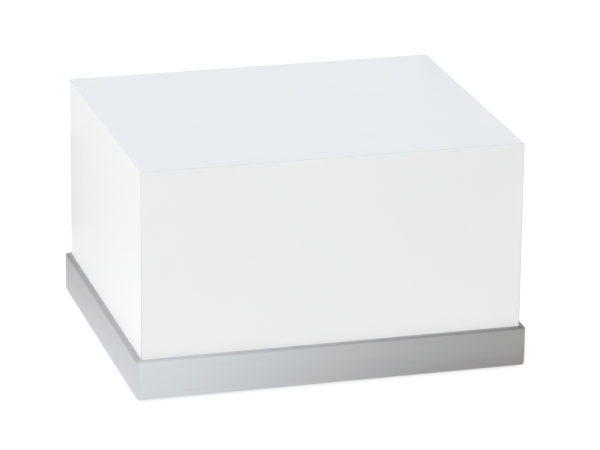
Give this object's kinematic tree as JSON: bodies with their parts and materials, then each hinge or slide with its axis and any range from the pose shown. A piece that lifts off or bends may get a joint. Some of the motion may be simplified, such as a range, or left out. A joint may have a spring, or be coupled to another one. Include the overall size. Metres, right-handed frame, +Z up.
{
  "type": "display riser",
  "caption": "Rectangular display riser: a closed white box of mitred panels on a shallow brushed metal base with a narrow ledge and rubber feet, for raising goods on a counter.",
  "frame": {"origin": "centre of the footprint, on the surface that the four feet stand on", "axes": "+X to the right along the long side, +Y to the back (the front faces -Y), +Z up"},
  "size_m": [0.305, 0.254, 0.179],
  "materials": {
    "white_panel": "satin white sheet plastic",
    "brushed_stainless": "fine brushed grain along each side, satin",
    "block_plastic": "sawn plastic, matte",
    "brass": "turned and knurled",
    "fastener_steel": "plain stainless fasteners",
    "black_rubber": "moulded rubber, matte"
  },
  "bodies": {
    "root": {"top_panel": "white_panel", "front_panel": "white_panel", "back_panel": "white_panel", "left_panel": "white_panel", "right_panel": "white_panel", "corner_block_front_left": "block_plastic", "corner_block_front_right": "block_plastic", "corner_block_back_left": "block_plastic", "corner_block_back_right": "block_plastic", "threaded_inserts": "brass", "base_tray": "brushed_stainless", "cover_screws": "fastener_steel", "screw_washers": "fastener_steel", "foot_front_left": "black_rubber", "foot_front_right": "black_rubber", "foot_back_left": "black_rubber", "foot_back_right": "black_rubber"}
  },
  "joints": []
}
